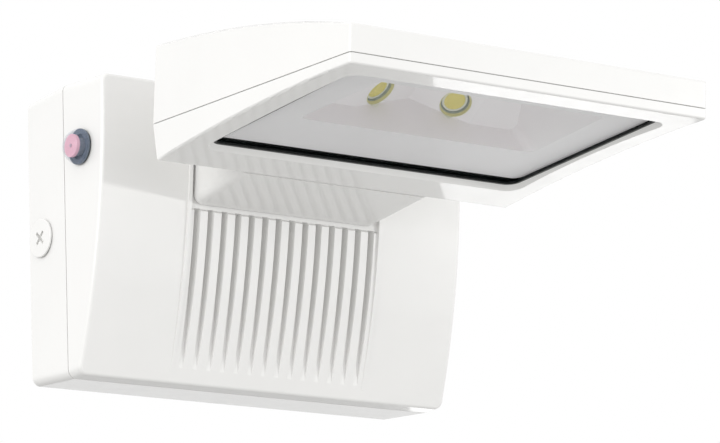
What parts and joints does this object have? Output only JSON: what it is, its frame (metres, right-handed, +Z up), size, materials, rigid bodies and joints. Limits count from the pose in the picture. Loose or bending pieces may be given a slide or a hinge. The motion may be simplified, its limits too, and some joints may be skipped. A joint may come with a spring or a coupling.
{
  "type": "led wall floodlight",
  "caption": "Wall-mounted floodlight: hinged driver housing with cooling ribs and a button photocell, and a flat lamp head on a short neck with a glass lens.",
  "frame": {"origin": "centre of the wall box's back face, which meets the wall", "axes": "+Z up, +X to the right seen from the front, +Y into the wall; the light faces -Y"},
  "size_m": [0.3215, 0.3613, 0.2149],
  "materials": {
    "white_paint": "satin polyester powder coat",
    "plug_paint": "satin powder coat",
    "grey_rubber": "matt silicone",
    "black_rubber": "matt",
    "zinc_steel": "zinc plated",
    "stainless": "turned",
    "ground_green": "green dyed plating",
    "cell_plastic": "fine matt",
    "cell_dome": "tinted clear plastic",
    "cell_sensor": "translucent",
    "nut_plastic": "moulded",
    "driver_case": "natural extruded",
    "terminal_plastic": "moulded",
    "wire_red": "smooth sleeve",
    "wire_black": "smooth sleeve",
    "wire_white": "smooth sleeve",
    "wire_green": "smooth sleeve",
    "wire_blue": "smooth sleeve",
    "lens_glass": "polished tempered sheet",
    "reflector_satin": "satin anodised",
    "standoff_plastic": "moulded",
    "board_white": "white solder mask",
    "phosphor": "silicone with phosphor",
    "dam_white": "silicone",
    "collar_plastic": "metallised",
    "heat_aluminium": "milled"
  },
  "bodies": {
    "wall_box": {"back_box": "white_paint", "box_gasket": "grey_rubber", "conduit_plug_left": "plug_paint", "conduit_plug_right": "plug_paint", "plug_o_rings": "black_rubber", "hinge_pins": "stainless", "latch_tongue": "zinc_steel", "latch_tongue_screws": "zinc_steel", "ground_screw": "ground_green"},
    "housing": {"driver_housing": "white_paint", "photocell_washer": "black_rubber", "photocell_body": "cell_plastic", "photocell_dome": "cell_dome", "photocell_sensor": "cell_sensor", "photocell_nut": "nut_plastic", "closing_nut": "zinc_steel", "driver": "driver_case", "driver_screws": "zinc_steel", "terminal_block": "terminal_plastic", "terminal_screws": "zinc_steel", "led_lead_red": "wire_red", "led_lead_black": "wire_black", "photocell_lead": "wire_blue", "supply_lead_black": "wire_black", "supply_lead_white": "wire_white", "supply_lead_green": "wire_green", "neck": "white_paint", "neck_rear_gasket": "black_rubber", "neck_front_gasket": "black_rubber", "neck_rear_bolts": "stainless", "neck_front_bolts": "stainless", "wire_bushings": "black_rubber", "head_top": "white_paint", "head_seal": "grey_rubber", "lens_frame": "white_paint", "lens_frame_screws": "stainless", "lens_glass": "lens_glass", "lens_gasket": "black_rubber", "reflector": "reflector_satin", "reflector_standoffs": "standoff_plastic", "led_board_left": "board_white", "led_board_right": "board_white", "led_emitter_left": "phosphor", "led_emitter_right": "phosphor", "led_dam_left": "dam_white", "led_dam_right": "dam_white", "led_collar_left": "collar_plastic", "led_collar_right": "collar_plastic", "heat_block_left": "heat_aluminium", "heat_block_right": "heat_aluminium"},
    "closing_screw": {"closing_screw": "stainless"}
  },
  "joints": [
    {"name": "housing_hinge", "type": "hinge", "parent": "wall_box", "child": "housing", "pos_m": [0, -0.0465, 0.1077], "axis": [-1, 0, 0], "range_deg": [0, 90]},
    {"name": "closing_screw_turn", "type": "hinge", "parent": "housing", "child": "closing_screw", "pos_m": [0.15, -0.0575, -0.056], "axis": [1, 0, 0], "continuous": true}
  ]
}
